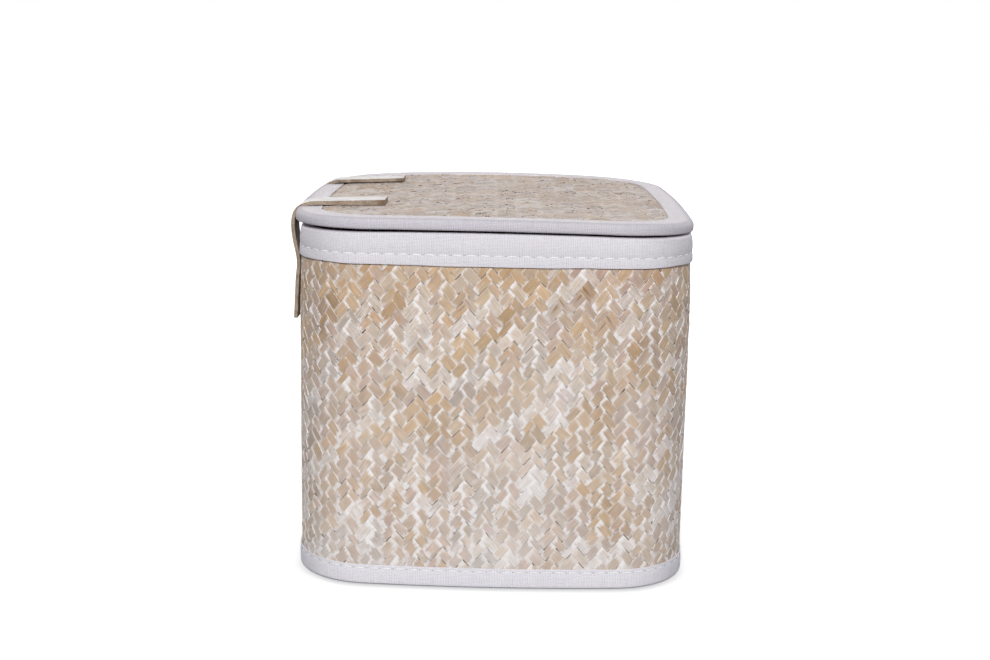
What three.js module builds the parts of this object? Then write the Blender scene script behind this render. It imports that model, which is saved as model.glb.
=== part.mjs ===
// Lidded woven basket: a rounded box of whitewashed leaf matting over card, bound with cotton tape,
// with a flat lid on two leather strap hinges. Millimetres, +Z up. The origin lies on the surface
// that the basket stands on, under the middle of its walls. The hinges are on the -X side.
import * as THREE from 'three';

// Driving dimensions of the body
const WALL_WIDTH = 210; // along X, over the outer mat, at the middle of the sides
const WALL_DEPTH = 242; // along Y, over the outer mat
const WALL_CORNER = 40; // plan radius of the corners
const WALL_BOW = 2.5; // how far the middle of each side stands out past its corners
const BODY_HEIGHT = 185; // from the floor to the fold of tape on the rim
const OUTER_MAT = 1.3;
const WALL_CARD = 1.5;
const INNER_MAT = 1.2;
const BASE_MAT = 1.2;
const BASE_CARD = 2;
const BASE_LINING = 1.2;

// Driving dimensions of the tape bindings and their sewing
const TAPE = 0.8; // folded cotton tape, both layers
const RIM_BAND = 17.3; // width of the tape on each face of the rim
const BASE_BAND = 10.2; // height of the tape on the foot of the wall
const BASE_FLAP = 14; // width of the tape under the base
const LID_FLAP = 13.5; // width of the tape on each face of the lid
const THREAD = 0.36;
const SEAM_DEPTH = 0.5; // how deep the sewing draws the tape in
const SEAM_WIDTH = 1;
const RIM_SEAM = 5.8; // from the lower edge of the rim tape to its sewing
const BASE_SEAM = 1.8; // from the upper edge of the foot tape to its sewing
const FLAP_SEAM = 2.5; // from the inner edge of a flap to its sewing

// Driving dimensions of the lid
const LID_OVERHANG = 1.5; // past the outer mat, all round
const LID_SHIFT = 1.6; // the lid lies this far towards its hinges
const LID_CORNER = 49;
const LID_BOW = 2;
const LID_MAT = 0.9; // where the tape pinches it
const LID_CARD = 1.1;
const LID_PUFF = 0.4; // the mats swell to this far below the face of the tape
const PUFF_RUN = 2; // length of the slope up to the swollen part
const LID_ARCH = 1.3; // the middle of the lid stands this far above its hinge and opening sides

// Driving dimensions of the strap hinges
const STRAP_WIDTH = 18;
const STRAP_THICK = 2.2;
const STRAP_SPREAD = 116; // between the middles of the two straps
const STRAP_REACH = 50; // from the edge of the lid to the end on its top
const STRAP_TAIL = 55; // from the rim to the lower end on the wall
const HINGE_DROP = 2.2; // the straps bend this far below the rim
const HINGE_BEND = 6; // length of leather that bends
const PINCH_DROP = 7; // the strap meets the wall this far below the rim tape
const TAIL_LIFT = 1; // the lower end stands off the wall by this much more

// Clearances
const PLY_GAP = 0.3; // between pieces that lie on each other
const LID_SEAT = 0.3; // between the rim and the lid at rest

// Facets round the plan
const SIDE_STEPS = 4;
const CORNER_STEPS = 6;
const ARCH_SHARES = [0.72, 0.42]; // sizes of the inner rings that let the lid's plies follow its arch

// Sizes that follow
const tapeProud = PLY_GAP + TAPE;
const wallThick = OUTER_MAT + PLY_GAP + WALL_CARD + PLY_GAP + INNER_MAT;
const wallTop = BODY_HEIGHT - tapeProud;
const rimTapeLow = BODY_HEIGHT - RIM_BAND;
const lidThick = 2 * (tapeProud + LID_MAT + PLY_GAP) + LID_CARD;
const lidUnder = BODY_HEIGHT + LID_SEAT;
const lidTop = lidUnder + lidThick;
const lidMiddle = lidUnder + lidThick / 2;

const strawColour = '#c9b596';
const liningColour = '#d3c3a8';
const cardColour = '#b39a78';
const tapeColour = '#dfdbe2';
const threadColour = '#f1eef0';
const leatherColour = '#cfc9bf';

const material = (color, roughness) => new THREE.MeshStandardMaterial({ color, roughness, metalness: 0 });
const straw = () => material(strawColour, 0.75);
const lining = () => material(liningColour, 0.8);
const card = () => material(cardColour, 0.9);
const cotton = () => material(tapeColour, 0.95);
const thread = () => material(threadColour, 0.8);
const leather = () => material(leatherColour, 0.6);

// Plan outline: four long arcs along the sides, tangent to four corner arcs. Every offset of it is
// the same arcs with other radii, so plies that lie on each other stay parallel all round.
function bowedOutline(width, depth, corner, bow, shift = 0) {
  const cornerX = width / 2 - bow - corner;
  const cornerY = depth / 2 - bow - corner;
  const arcRadius = (reach) => ((bow + corner) ** 2 - corner ** 2 + reach ** 2) / (2 * bow);
  const radiusX = arcRadius(cornerY);
  const radiusY = arcRadius(cornerX);
  const centreX = width / 2 - radiusX;
  const centreY = depth / 2 - radiusY;
  const turnX = Math.atan2(cornerY, cornerX - centreX);
  const turnY = Math.atan2(cornerX, cornerY - centreY);
  const quarter = Math.PI / 2;
  const arcs = [];
  const arc = (x, y, radius, from, to, steps) => arcs.push({ x: x + shift, y, radius, from, to, steps });
  arc(centreX, 0, radiusX, -turnX, turnX, SIDE_STEPS);
  arc(cornerX, cornerY, corner, turnX, quarter - turnY, CORNER_STEPS);
  arc(0, centreY, radiusY, quarter - turnY, quarter + turnY, SIDE_STEPS);
  arc(-cornerX, cornerY, corner, quarter + turnY, 2 * quarter - turnX, CORNER_STEPS);
  arc(-centreX, 0, radiusX, 2 * quarter - turnX, 2 * quarter + turnX, SIDE_STEPS);
  arc(-cornerX, -cornerY, corner, 2 * quarter + turnX, 3 * quarter - turnY, CORNER_STEPS);
  arc(0, -centreY, radiusY, 3 * quarter - turnY, 3 * quarter + turnY, SIDE_STEPS);
  arc(cornerX, -cornerY, corner, 3 * quarter + turnY, 4 * quarter - turnX, CORNER_STEPS);
  return arcs;
}

function outlinePoints(arcs, offset) {
  return arcs.flatMap(({ x, y, radius, from, to, steps }) => {
    const curve = new THREE.EllipseCurve(x, y, radius + offset, radius + offset, from, to);
    return curve.getPoints(steps).slice(0, -1);
  });
}

// Where the outline's -X side crosses a line of constant y
function hingeSideX(arcs, offset, y) {
  const { x, radius } = arcs[4];
  return x - Math.sqrt((radius + offset) ** 2 - y ** 2);
}

// How far the arched lid rises above a flat one
const lidHalfWidth = WALL_WIDTH / 2 + LID_OVERHANG;
const archAt = (x) => LID_ARCH * Math.max(0, 1 - ((x + LID_SHIFT) / lidHalfWidth) ** 2);
const level = () => 0;

// A section is a list of [offset from the outline, height, share of its size], going
// counter-clockwise. Carried round the outline it makes a ring. A plate's section starts and ends
// on the middle, which closes it. `rise` lifts each point by a height that depends on its x.
function sweep(arcs, section, plate, rise) {
  const middleX = arcs[2].x;
  const rings = section.map(([offset, , share = 1]) => outlinePoints(arcs, offset).map(
    (p) => new THREE.Vector2(middleX + (p.x - middleX) * share, p.y * share),
  ));
  const count = rings[0].length;
  const positions = [];
  rings.forEach((ring, i) => ring.forEach((p) => positions.push(p.x, p.y, section[i][1] + rise(p.x))));
  const index = [];
  const bands = plate ? rings.length - 1 : rings.length;
  for (let i = 0; i < bands; i++) {
    const low = i * count;
    const high = ((i + 1) % rings.length) * count;
    for (let j = 0; j < count; j++) {
      const next = (j + 1) % count;
      index.push(low + j, low + next, high + j);
      index.push(low + next, high + next, high + j);
    }
  }
  if (plate) {
    const top = (rings.length - 1) * count;
    const middle = positions.length / 3;
    const crown = rise(middleX);
    positions.push(middleX, 0, section[0][1] + crown, middleX, 0, section[section.length - 1][1] + crown);
    for (let j = 0; j < count; j++) {
      const next = (j + 1) % count;
      index.push(middle, next, j);
      index.push(middle + 1, top + j, top + next);
    }
  }
  const geometry = new THREE.BufferGeometry();
  geometry.setAttribute('position', new THREE.Float32BufferAttribute(positions, 3));
  geometry.setIndex(index);
  geometry.computeVertexNormals();
  return geometry;
}

const ring = (arcs, section, rise = level) => sweep(arcs, section, false, rise);
const plate = (arcs, section, rise = level) => sweep(arcs, section, true, rise);

// A plate of the lid: its section's ends get the inner rings
function archedPlate(arcs, section) {
  const [[lowOffset, low]] = section;
  const [highOffset, high] = section[section.length - 1];
  const under = ARCH_SHARES.map((share) => [lowOffset, low, share]).reverse();
  const over = ARCH_SHARES.map((share) => [highOffset, high, share]);
  return plate(arcs, [...under, ...section, ...over], archAt);
}

// Points of a section's rounded fold, about [x, y], from one angle in degrees to another
function fold(x, y, radius, from, to, steps) {
  const [start, end] = [from, to].map(THREE.MathUtils.degToRad);
  const curve = new THREE.EllipseCurve(x, y, radius, radius, start, end, to < from);
  return curve.getPoints(steps).map((p) => [p.x, p.y]);
}

const block = (inner, outer, low, high) => [[inner, low], [outer, low], [outer, high], [inner, high]];

// A seam's furrow in a section, walked from one edge of the furrow to the other. The tape's face
// passes through the point `at`; `along` is the walking direction and `into` points into the tape.
function furrow(at, along, into) {
  const step = (s, d) => [at[0] + s * along[0] + d * into[0], at[1] + s * along[1] + d * into[1]];
  const half = SEAM_WIDTH / 2;
  return [step(-half, 0), step(-half, SEAM_DEPTH), step(half, SEAM_DEPTH), step(half, 0)];
}

// The thread that lies in that furrow, a closed run all round
function seamThread(arcs, at, into, rise = level) {
  const middle = [at[0] + (SEAM_DEPTH / 2) * into[0], at[1] + (SEAM_DEPTH / 2) * into[1]];
  return ring(arcs, fold(middle[0], middle[1], THREAD / 2, -135, 225, 4).slice(0, -1), rise);
}

const RIGHT = [1, 0];
const LEFT = [-1, 0];
const UP = [0, 1];
const DOWN = [0, -1];

function add(group, name, geometry, finish) {
  const mesh = new THREE.Mesh(geometry, finish);
  mesh.name = name;
  group.add(mesh);
}

// Walls: an outer mat, a card core and an inner mat, each a tube of the plan outline
function buildWalls(group) {
  const cardOuter = -OUTER_MAT - PLY_GAP;
  const liningOuter = cardOuter - WALL_CARD - PLY_GAP;
  add(group, 'outer_mat', ring(wall, block(-OUTER_MAT, 0, tapeProud, wallTop)), straw());
  add(group, 'wall_card', ring(wall, block(cardOuter - WALL_CARD, cardOuter, tapeProud, wallTop)), card());
  add(group, 'inner_mat', ring(wall, block(-wallThick, liningOuter, tapeProud, wallTop)), lining());
}

// Rim tape: folded over all three plies, with a seam right through them
function buildRimTape(group) {
  const outer = tapeProud;
  const inner = -wallThick - tapeProud;
  const seam = rimTapeLow + RIM_SEAM;
  const section = [
    [outer, rimTapeLow],
    ...furrow([outer, seam], UP, LEFT),
    ...fold(0, wallTop, tapeProud, 0, 90, 2),
    ...fold(-wallThick, wallTop, tapeProud, 90, 180, 2),
    ...furrow([inner, seam], DOWN, RIGHT),
    [inner, rimTapeLow],
    [inner + TAPE, rimTapeLow],
    ...fold(-wallThick, wallTop, PLY_GAP, 180, 90, 1),
    ...fold(0, wallTop, PLY_GAP, 90, 0, 1),
    [outer - TAPE, rimTapeLow],
  ];
  add(group, 'rim_tape', ring(wall, section), cotton());
  add(group, 'rim_thread_outer', seamThread(wall, [outer, seam], LEFT), thread());
  add(group, 'rim_thread_inner', seamThread(wall, [inner, seam], RIGHT), thread());
}

// Base: a mat, a card and a lining stacked inside the foot of the walls. The mat sags from the
// tape's flap, which pinches its edge, down to the floor.
function buildBase(group) {
  const edge = -wallThick - PLY_GAP;
  const sagStart = -BASE_FLAP - PLY_GAP;
  const sagEnd = sagStart - PUFF_RUN;
  const matTop = tapeProud + BASE_MAT;
  const mat = [
    [sagEnd, 0],
    [sagStart, tapeProud],
    [edge, tapeProud],
    [edge, matTop],
    [sagStart + PLY_GAP, matTop],
    [sagEnd + PLY_GAP, BASE_MAT],
  ];
  const cardLow = matTop + PLY_GAP;
  const liningLow = cardLow + BASE_CARD + PLY_GAP;
  add(group, 'base_mat', plate(wall, mat), straw());
  add(group, 'base_card', plate(wall, [[edge, cardLow], [edge, cardLow + BASE_CARD]]), card());
  add(group, 'base_lining', plate(wall, [[edge, liningLow], [edge, liningLow + BASE_LINING]]), lining());
}

// Foot tape: folded round the bottom corner of the walls, up their face and under the base
function buildFootTape(group) {
  const outer = tapeProud;
  const seam = BASE_BAND - BASE_SEAM;
  const underSeam = -BASE_FLAP + FLAP_SEAM;
  const section = [
    [-BASE_FLAP, 0],
    ...furrow([underSeam, 0], RIGHT, UP),
    ...fold(0, tapeProud, tapeProud, -90, 0, 2),
    ...furrow([outer, seam], UP, LEFT),
    [outer, BASE_BAND],
    [outer - TAPE, BASE_BAND],
    ...fold(0, tapeProud, PLY_GAP, 0, -90, 1),
    [-BASE_FLAP, TAPE],
  ];
  add(group, 'foot_tape', ring(wall, section), cotton());
  add(group, 'foot_thread_outer', seamThread(wall, [outer, seam], LEFT), thread());
  add(group, 'foot_thread_under', seamThread(wall, [underSeam, 0], UP), thread());
}

// Lid: two mats over a card, all arched alike. The mats end on the middle of the tape's round edge,
// and the card, which is thinner than that edge, reaches further out.
function buildLid(group) {
  const half = lidThick / 2;
  const foldRoom = half - tapeProud;
  const cardEdge = -half + Math.sqrt(foldRoom ** 2 - (LID_CARD / 2) ** 2);
  const matEdge = -half;
  const swellStart = -LID_FLAP - PLY_GAP;
  const swellEnd = swellStart - PUFF_RUN;
  const matHigh = lidTop - tapeProud;
  const mat = [
    [swellEnd, matHigh - LID_MAT],
    [matEdge, matHigh - LID_MAT],
    [matEdge, matHigh],
    [swellStart, matHigh],
    [swellEnd, lidTop - LID_PUFF],
  ];
  const liningLow = lidUnder + tapeProud;
  const under = [
    [swellEnd, lidUnder + LID_PUFF],
    [swellStart, liningLow],
    [matEdge, liningLow],
    [matEdge, liningLow + LID_MAT],
    [swellEnd, liningLow + LID_MAT],
  ];
  const cardLow = lidMiddle - LID_CARD / 2;
  const cardHigh = cardLow + LID_CARD;
  const core = [[swellEnd, cardLow], [cardEdge, cardLow], [cardEdge, cardHigh], [swellEnd, cardHigh]];
  add(group, 'lid_mat', archedPlate(lid, mat), straw());
  add(group, 'lid_card', archedPlate(lid, core), card());
  add(group, 'lid_lining', archedPlate(lid, under), lining());
}

// Lid tape: folded round the edge, with a seam through both of its flaps
function buildLidTape(group) {
  const half = lidThick / 2;
  const seam = -LID_FLAP + FLAP_SEAM;
  const section = [
    [-LID_FLAP, lidUnder],
    ...furrow([seam, lidUnder], RIGHT, UP),
    ...fold(-half, lidMiddle, half, -90, 90, 6),
    ...furrow([seam, lidTop], LEFT, DOWN),
    [-LID_FLAP, lidTop],
    [-LID_FLAP, lidTop - TAPE],
    ...fold(-half, lidMiddle, half - TAPE, 90, -90, 4),
    [-LID_FLAP, lidUnder + TAPE],
  ];
  add(group, 'lid_tape', ring(lid, section, archAt), cotton());
  add(group, 'lid_thread_top', seamThread(lid, [seam, lidTop], DOWN, archAt), thread());
  add(group, 'lid_thread_under', seamThread(lid, [seam, lidUnder], UP, archAt), thread());
}

// A length of strap: its thickness is laid on both sides of a line of [x, z] points
function strapLength(points, middleY) {
  const half = STRAP_THICK / 2;
  const line = points.map(([x, z]) => new THREE.Vector2(x, z));
  const side = (sign) => line.map((point, i) => {
    const before = line[Math.max(i - 1, 0)];
    const after = line[Math.min(i + 1, line.length - 1)];
    const run = after.clone().sub(before).normalize();
    return new THREE.Vector2(point.x - sign * half * run.y, point.y + sign * half * run.x);
  });
  const shape = new THREE.Shape([...side(-1), ...side(1).reverse()]);
  const geometry = new THREE.ExtrudeGeometry(shape, { depth: STRAP_WIDTH, bevelEnabled: false });
  geometry.rotateX(Math.PI / 2);
  geometry.translate(0, middleY + STRAP_WIDTH / 2, 0);
  return geometry;
}

// Strap hinges: each is one leather strap, modelled as the end that lies on the lid, the short
// length that bends under the lid's edge, and the end that lies on the wall
function buildStraps(group) {
  const nearY = (STRAP_SPREAD - STRAP_WIDTH) / 2;
  const lidEdge = hingeSideX(lid, 0, nearY);
  const flapEnd = hingeSideX(lid, -LID_FLAP, nearY + STRAP_WIDTH);
  const bandFace = hingeSideX(wall, tapeProud, nearY);
  const matFace = hingeSideX(wall, 0, nearY);
  const seat = PLY_GAP + STRAP_THICK / 2;
  const hingeX = lidEdge - seat;
  const hingeZ = BODY_HEIGHT - HINGE_DROP;
  const reach = HINGE_BEND / 2 + PLY_GAP;
  const onTape = lidTop + seat;
  const onMat = onTape - LID_PUFF;
  const edgeMiddle = lidEdge + lidThick / 2;

  const lidEnd = [
    [hingeX, hingeZ + reach],
    ...fold(edgeMiddle, lidMiddle, lidThick / 2 + seat, 180, 90, 6),
    [flapEnd + PLY_GAP, onTape],
    [flapEnd + PLY_GAP + 2 * PUFF_RUN, onMat],
    [(flapEnd + lidEdge + STRAP_REACH) / 2, onMat],
    [lidEdge + STRAP_REACH, onMat],
  ].map(([x, z]) => [x, z + archAt(x)]);
  const bend = [
    [hingeX, hingeZ - HINGE_BEND / 2],
    [hingeX, hingeZ + HINGE_BEND / 2],
  ];
  const tailEnd = BODY_HEIGHT - STRAP_TAIL;
  const pinch = rimTapeLow - PINCH_DROP;
  const route = [
    [hingeX, hingeZ - reach],
    [hingeX - (hingeX - bandFace + seat) / 4, (hingeZ - reach + rimTapeLow) / 2 + 1],
    [bandFace - seat, rimTapeLow],
    [matFace - seat, pinch],
    [matFace - seat - TAIL_LIFT / 2, pinch - (pinch - tailEnd) / 3],
    [matFace - seat - TAIL_LIFT, tailEnd],
  ];
  const curve = new THREE.SplineCurve(route.map(([x, z]) => new THREE.Vector2(x, z)));
  const wallEnd = curve.getPoints(18).map((p) => [p.x, p.y]);

  const sides = { near: -STRAP_SPREAD / 2, far: STRAP_SPREAD / 2 };
  for (const [name, y] of Object.entries(sides)) {
    add(group, `${name}_strap_lid_end`, strapLength(lidEnd, y), leather());
    add(group, `${name}_strap_bend`, strapLength(bend, y), leather());
    add(group, `${name}_strap_wall_end`, strapLength(wallEnd, y), leather());
  }
}

const wall = bowedOutline(WALL_WIDTH, WALL_DEPTH, WALL_CORNER, WALL_BOW);
const lid = bowedOutline(
  WALL_WIDTH + 2 * LID_OVERHANG,
  WALL_DEPTH + 2 * LID_OVERHANG,
  LID_CORNER,
  LID_BOW,
  -LID_SHIFT,
);

const basket = new THREE.Group();
buildWalls(basket);
buildRimTape(basket);
buildBase(basket);
buildFootTape(basket);
buildLid(basket);
buildLidTape(basket);
buildStraps(basket);

export default basket;
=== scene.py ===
# A lidded basket: a rounded box of whitewashed leaf matting over card, bound with cotton tape, with
# a flat lid on two leather straps. Sizes are in millimetres until a piece is finished, and then in
# metres, in the frame of the CAD part: +Z up, the hinges on the -X side, the origin on the floor.
import math
import random
from functools import partial

import bmesh
import bpy
import numpy as np
from mathutils import Matrix, Vector


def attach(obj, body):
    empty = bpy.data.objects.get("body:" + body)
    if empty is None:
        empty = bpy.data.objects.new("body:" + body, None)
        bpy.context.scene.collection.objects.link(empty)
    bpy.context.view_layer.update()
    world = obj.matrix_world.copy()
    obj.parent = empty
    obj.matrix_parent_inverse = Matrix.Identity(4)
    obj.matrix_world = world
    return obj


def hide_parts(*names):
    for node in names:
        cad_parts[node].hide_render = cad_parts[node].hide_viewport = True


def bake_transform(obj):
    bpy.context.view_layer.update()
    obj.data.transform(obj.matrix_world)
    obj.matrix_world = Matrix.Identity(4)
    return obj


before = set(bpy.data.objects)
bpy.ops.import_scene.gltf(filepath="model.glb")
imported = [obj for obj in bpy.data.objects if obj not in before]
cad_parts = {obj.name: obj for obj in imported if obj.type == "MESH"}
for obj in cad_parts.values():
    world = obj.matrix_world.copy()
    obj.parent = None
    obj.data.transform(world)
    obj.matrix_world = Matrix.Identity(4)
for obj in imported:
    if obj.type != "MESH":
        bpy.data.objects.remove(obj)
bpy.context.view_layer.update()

# Camera: a moderate telephoto a little above the lid, square to the long front, as the basket was
# photographed. The focal length is counted in pixels of a frame 990 pixels wide.
CAMERA_SPOT = (6.2, -841.7, 279.5)
CAMERA_YAW, CAMERA_PITCH, CAMERA_ROLL = -0.0078, 0.1967, 0.0186
FOCAL_PIXELS, FRAME_PIXELS, SENSOR = 1469.5, 990, 36.0
MM = 0.001

camera_data = bpy.data.cameras.new("camera")
camera_data.sensor_width = SENSOR
camera_data.lens = FOCAL_PIXELS / FRAME_PIXELS * SENSOR
camera = bpy.data.objects.new("camera", camera_data)
bpy.context.scene.collection.objects.link(camera)
camera.matrix_world = (
    Matrix.Translation(Vector(CAMERA_SPOT) * MM)
    @ Matrix.Rotation(-CAMERA_YAW, 4, "Z")
    @ Matrix.Rotation(math.pi / 2 - CAMERA_PITCH, 4, "X")
    @ Matrix.Rotation(CAMERA_ROLL, 4, "Z")
)
bpy.context.scene.camera = camera

# Studio: a sweep of white paper under soft light from the front, above and both sides behind, with
# white all round. The paper only looks white to the camera, so that it keeps the contact shadow.
PAPER = "#a3a3a5"
PAPER_SIZE = 4.0  # metres
PAPER_DROP = 0.2  # below the basket's foot
PAPER_LIFT = 0.8  # glow of the paper by the basket; it is 1 from BRIGHT_FROM on
BRIGHT_NEAR, BRIGHT_FROM = 150, 320
SHADOW_REACH = 8
SHADOW_FRONT, SHADOW_BACK = (-118, 1.5), (-85, 0.45)  # y, and how strong the shadow is there
SKY, SKY_STRENGTH = "#f5f7ff", 0.05
WHITE = (1, 1, 1, 1)
LAMP_AIM = (0, 0, 100)
LAMPS = {  # place, side and watts
    "front softbox": ((-60, -2600, 1620), 900, 75.0),
    "top softbox": ((0, 0, 2800), 1200, 9.5),
    "left softbox": ((-1750, 2090, 1050), 900, 36.0),
    "right softbox": ((1750, 2090, 1050), 900, 36.0),
}


def hex_colour(text, alpha=1.0):
    """An sRGB hex value as a linear colour."""
    parts = [int(text[i:i + 2], 16) / 255 for i in (1, 3, 5)]
    return (*(p / 12.92 if p <= 0.04045 else ((p + 0.055) / 1.055) ** 2.4 for p in parts), alpha)


def add_node(tree, kind, *values, named={}, **settings):
    """Adds a node of a kind, such as Math, and mode, such as ADD. The values go to its inputs in
    the order in which it shows them, or by name: each is a socket, a node, which stands for its
    first output, a hex colour or a number. The settings are the node's own."""
    kind, _, mode = kind.partition(" ")
    made = tree.nodes.new("ShaderNode" + kind)
    if mode:
        setattr(made, "data_type" if kind == "Mix" else "operation", mode)
    for key, value in settings.items():
        setattr(made, key, value)
    shown = [socket for socket in made.inputs if socket.enabled]
    for socket, value in (*zip(shown, values), *((made.inputs[key], named[key]) for key in named)):
        if isinstance(value, bpy.types.Node):
            value = next(output for output in value.outputs if output.enabled)
        if isinstance(value, bpy.types.NodeSocket):
            tree.links.new(value, socket)
        else:
            socket.default_value = hex_colour(value) if isinstance(value, str) else value
    return made


def new_material(name):
    """A node material without nodes, and what adds its nodes."""
    finish = bpy.data.materials.new(name)
    finish.use_nodes = True
    finish.node_tree.nodes.clear()
    return finish, partial(add_node, finish.node_tree)


def as_mesh(made, name):
    """Ends a bmesh and gives its mesh."""
    mesh = bpy.data.meshes.new(name)
    made.to_mesh(mesh)
    made.free()
    return mesh


paper, add = new_material("white background paper")
rays = add("LightPath").outputs
place = add("TexCoord").outputs["Object"]
away = add("VectorMath LENGTH", place)
lift = add("MapRange", away, BRIGHT_NEAR * MM, BRIGHT_FROM * MM, PAPER_LIFT, 1.0)
# the contact shadow fades out a little way from the foot and is darkest in front
contact = add("AmbientOcclusion", named={"Distance": SHADOW_REACH * MM}, samples=8)
depth = add("SeparateXYZ", place).outputs["Y"]
(front, strong), (back, weak) = SHADOW_FRONT, SHADOW_BACK
depth = add("MapRange", depth, front * MM, back * MM, strong, weak)
contact = add("Math POWER", contact.outputs["AO"], depth)
lift = add("Math MULTIPLY", lift, contact)
matt = add("BsdfDiffuse", PAPER)
glow = add("Emission", WHITE, lift)
seen = add("AddShader", matt, glow)
mixed = add("MixShader", rays["Is Camera Ray"], matt, seen)
add("OutputMaterial", mixed)

bm = bmesh.new()
bmesh.ops.create_grid(bm, x_segments=1, y_segments=1, size=PAPER_SIZE)
bmesh.ops.translate(bm, verts=bm.verts, vec=(0, 0, -PAPER_DROP * MM))
floor_mesh = as_mesh(bm, "floor")
floor_mesh.materials.append(paper)
floor = bpy.data.objects.new("floor", floor_mesh)
bpy.context.scene.collection.objects.link(floor)

world = bpy.data.worlds.new("white studio")
bpy.context.scene.world = world
world.use_nodes = True
world.node_tree.nodes.clear()
add = partial(add_node, world.node_tree)
rays = add("LightPath").outputs
direct = add("Math MAXIMUM", rays["Is Camera Ray"], rays["Is Glossy Ray"])
direct = add("Math MAXIMUM", direct, rays["Is Transmission Ray"])
backdrop = add("Background", WHITE, 1.0)
sky = add("Background", SKY, SKY_STRENGTH)
mixed = add("MixShader", direct, sky, backdrop)
add("OutputWorld", mixed)

for lamp_name, (spot, side, watts) in LAMPS.items():
    lamp_data = bpy.data.lights.new(lamp_name, "AREA")
    lamp_data.shape = "SQUARE"
    lamp_data.size = side * MM
    lamp_data.energy = watts
    lamp = bpy.data.objects.new(lamp_name, lamp_data)
    bpy.context.scene.collection.objects.link(lamp)
    aim = Vector(LAMP_AIM) - Vector(spot)
    turn = aim.to_track_quat("-Z", "Y").to_matrix().to_4x4()
    lamp.matrix_world = Matrix.Translation(Vector(spot) * MM) @ turn

bpy.context.scene.view_settings.view_transform = "Standard"


# Outer mat: flat strips of dried leaf, about 5 mm wide, plaited over two and under two on a slant
# and brushed with thin white limewash. The mat is bent round the card and held by the tapes. Only
# the floats, where a strip lies on top, are modelled, over a plain underlay.
WALL = dict(width=210, depth=242, corner=40, bow=2.5)
WALL_FOOT, WALL_TOP = 1.1, 183.9
OUTER_MAT = 1.3
FAMILIES = ("rising", "falling")
STRIP_STEP = 3.65  # half the height of one turn of the plait, and the height of one of its cells
STRIP_TURNS = 69  # columns of floats round the basket
WALL_PLAIT = (0, STRIP_TURNS), (0, 24)
STRIP_BODY = 0.75  # a float's side goes this deep
STRIP_BASE = 0.15  # and its base this much deeper
STRIP_CROWN = 0.1
STRIP_DIVE = 0.58  # how far a float's ends go under their neighbours
STRIP_TUCK = 0.09  # how far they reach there, in cells
DIVE_LENGTH, DIVE_CURVE = 1.4, 1.6
# how the strips of a hand-made mat differ: the edges stray and gaps open, in cells, and the floats
# lie high or tilted or curl up at an end, in millimetres
STRAY, STRAY_LIMIT = 0.15, 0.25
GAP, OPEN_GAP = (0.006, 0.016), (0.014, 0.024)  # the least, and what chance adds
SKEW = 0.045
HEIGHT_SPREAD, HEIGHT_LIMIT = 0.06, 0.2
CURL, CURL_LENGTH, CURLED_SHARE = 0.25, 2.6, 0.03
OWN_HUE_SHARE = 0.45  # this share of the floats has its strip's own hue
TONE_SPREAD = 0.07
LEAF_HUES = (
    "#c6a479", "#cbaa83", "#c4a78c", "#bfa694", "#baaa9b", "#c6a998", "#c9ae8d", "#b7956e",
    "#c8b39d",
)


def bowed_outline(width, depth, corner, bow, shift=0.0):
    """Centres, radii and angles of the eight arcs of a rounded rectangle with bowed sides."""
    corner_x = width / 2 - bow - corner
    corner_y = depth / 2 - bow - corner
    radius_x = ((bow + corner) ** 2 - corner ** 2 + corner_y ** 2) / (2 * bow)
    radius_y = ((bow + corner) ** 2 - corner ** 2 + corner_x ** 2) / (2 * bow)
    centre_x = width / 2 - radius_x
    centre_y = depth / 2 - radius_y
    turn_x = math.atan2(corner_y, corner_x - centre_x)
    turn_y = math.atan2(corner_x, corner_y - centre_y)
    quarter = math.pi / 2
    half = np.array([
        (centre_x, 0, radius_x, -turn_x, turn_x),
        (corner_x, corner_y, corner, turn_x, quarter - turn_y),
        (0, centre_y, radius_y, quarter - turn_y, quarter + turn_y),
        (-corner_x, corner_y, corner, quarter + turn_y, 2 * quarter - turn_x),
    ])
    # the other half is the same one, turned about the middle
    arcs = np.vstack([half, half * (-1, -1, 1, 1, 1) + (0, 0, 0, math.pi, math.pi)])
    arcs[:, 0] += shift
    return arcs


def outline_length(arcs):
    return float(np.sum(arcs[:, 2] * (arcs[:, 4] - arcs[:, 3])))


def walk(arcs, run, out):
    """The points a way `run` round the outline, moved out from it by `out`."""
    lengths = arcs[:, 2] * (arcs[:, 4] - arcs[:, 3])
    starts = np.concatenate([[0], np.cumsum(lengths)[:-1]])
    run = np.mod(run, lengths.sum())
    k = np.searchsorted(starts, run, side="right") - 1
    angle = arcs[k, 3] + (run - starts[k]) / arcs[k, 2]
    radius = arcs[k, 2] + out
    return arcs[k, 0] + radius * np.cos(angle), arcs[k, 1] + radius * np.sin(angle)


wall_arcs = bowed_outline(**WALL)
wall_length = outline_length(wall_arcs)
strip_across = wall_length / (4 * STRIP_TURNS)  # the width of a cell


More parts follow.
